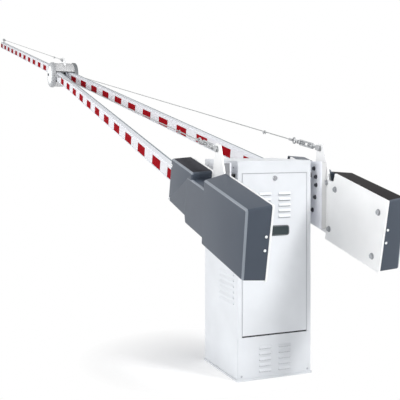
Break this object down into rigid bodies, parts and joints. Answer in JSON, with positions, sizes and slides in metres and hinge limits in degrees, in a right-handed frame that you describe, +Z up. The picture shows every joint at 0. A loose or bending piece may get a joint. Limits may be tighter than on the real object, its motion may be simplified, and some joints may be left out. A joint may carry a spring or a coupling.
{
  "type": "boom barrier",
  "caption": "Vehicle boom barrier: louvred cabinet with worm drive, twin rear arms that meet at a drum, a single front arm, steel stays and counterweights under stepped covers",
  "frame": {"origin": "on the ground under the cabinet, at the centre of the anchor bolts", "axes": "+Z up; the boom points to -X and rises; the louvred door faces +X; the output shaft lies along Y"},
  "size_m": [9.1127, 0.76, 2.5469],
  "materials": {
    "galvanised": "galvanised, dull",
    "cabinet_white": "powder coat, satin",
    "frame_steel": "powder coat, matt",
    "gear_iron": "sprayed grey",
    "motor_grey": "cast and painted",
    "terminal_black": "moulded",
    "belt_rubber": "smooth",
    "control_grey": "moulded",
    "bearing_iron": "painted",
    "stop_rubber": "moulded",
    "screw_steel": "zinc plated",
    "badge_dark": "bare plate",
    "lock_chrome": "plated",
    "shaft_steel": "turned",
    "plate_white": "powder coat, satin",
    "bracket_grey": "powder coat, satin",
    "cover_slate": "moulded, fine grain",
    "weight_iron": "raw, oiled",
    "socket_aluminium": "milled",
    "tube_white": "white coat",
    "strip_reflective": "reflective film, red and white",
    "rim_dark": "moulded",
    "cap_white": "moulded",
    "fitting_steel": "galvanised",
    "stay_wire": "stranded",
    "pulley_iron": "turned"
  },
  "bodies": {
    "cabinet": {"base_plate": "galvanised", "cabinet_shell": "cabinet_white", "lower_panel": "cabinet_white", "roof_hood": "cabinet_white", "drive_frame": "frame_steel", "gearbox_housing": "gear_iron", "motor_body": "motor_grey", "terminal_box": "terminal_black", "drive_belt": "belt_rubber", "control_box": "control_grey", "shaft_bearings": "bearing_iron", "side_stops": "stop_rubber", "limit_switches": "terminal_black", "hinge_pins": "screw_steel"},
    "door": {"door_panel": "cabinet_white", "blank_badge": "badge_dark", "lock_bezel": "lock_chrome"},
    "lock": {"lock_barrel": "lock_chrome"},
    "input_pulley": {"worm_pulley": "pulley_iron"},
    "motor_rotor": {"motor_pulley": "pulley_iron"},
    "boom": {"cable_clamps": "fitting_steel", "clamp_cheeks": "socket_aluminium", "far_arm_plate": "plate_white", "far_counterweight": "weight_iron", "far_cover": "cover_slate", "far_hub_bracket": "bracket_grey", "far_rear_tube": "tube_white", "far_socket": "socket_aluminium", "far_stay": "stay_wire", "far_strip": "strip_reflective", "far_turnbuckle": "fitting_steel", "front_stay": "stay_wire", "front_stay_forks": "fitting_steel", "front_strip": "strip_reflective", "front_tube": "tube_white", "hub_bolts": "screw_steel", "hub_caps": "cap_white", "hub_drum": "socket_aluminium", "hub_eyes": "fitting_steel", "hub_fin": "plate_white", "hub_rims": "rim_dark", "hub_studs": "screw_steel", "near_arm_plate": "plate_white", "near_counterweight": "weight_iron", "near_cover": "cover_slate", "near_hub_bracket": "bracket_grey", "near_rear_tube": "tube_white", "near_socket": "socket_aluminium", "near_stay": "stay_wire", "near_strip": "strip_reflective", "near_turnbuckle": "fitting_steel", "output_shaft": "shaft_steel", "plate_bolts": "screw_steel", "shaft_retainers": "screw_steel", "stay_anchor": "socket_aluminium", "tip_cap": "rim_dark"}
  },
  "joints": [
    {"name": "boom_lift", "type": "hinge", "parent": "cabinet", "child": "boom", "pos_m": [0, 0, 0.861], "axis": [0, 1, 0], "range_deg": [-10.2, 77.6]},
    {"name": "door_hinge", "type": "hinge", "parent": "cabinet", "child": "door", "pos_m": [0.189, 0.162, 0.58], "axis": [0, 0, 1], "range_deg": [0, 95]},
    {"name": "lock_turn", "type": "hinge", "parent": "door", "child": "lock", "pos_m": [0.195, 0, 0.934], "axis": [-1, 0, 0], "range_deg": [0, 90]},
    {"name": "worm_turn", "type": "hinge", "parent": "cabinet", "child": "input_pulley", "pos_m": [0.149, 0, 0.776], "axis": [1, 0, 0], "continuous": true},
    {"name": "motor_turn", "type": "hinge", "parent": "cabinet", "child": "motor_rotor", "pos_m": [0.149, 0, 0.516], "axis": [1, 0, 0], "continuous": true}
  ],
  "couplings": [
    {"joint": "worm_turn", "follows": "boom_lift", "ratio": 60},
    {"joint": "motor_turn", "follows": "boom_lift", "ratio": 96.7}
  ]
}
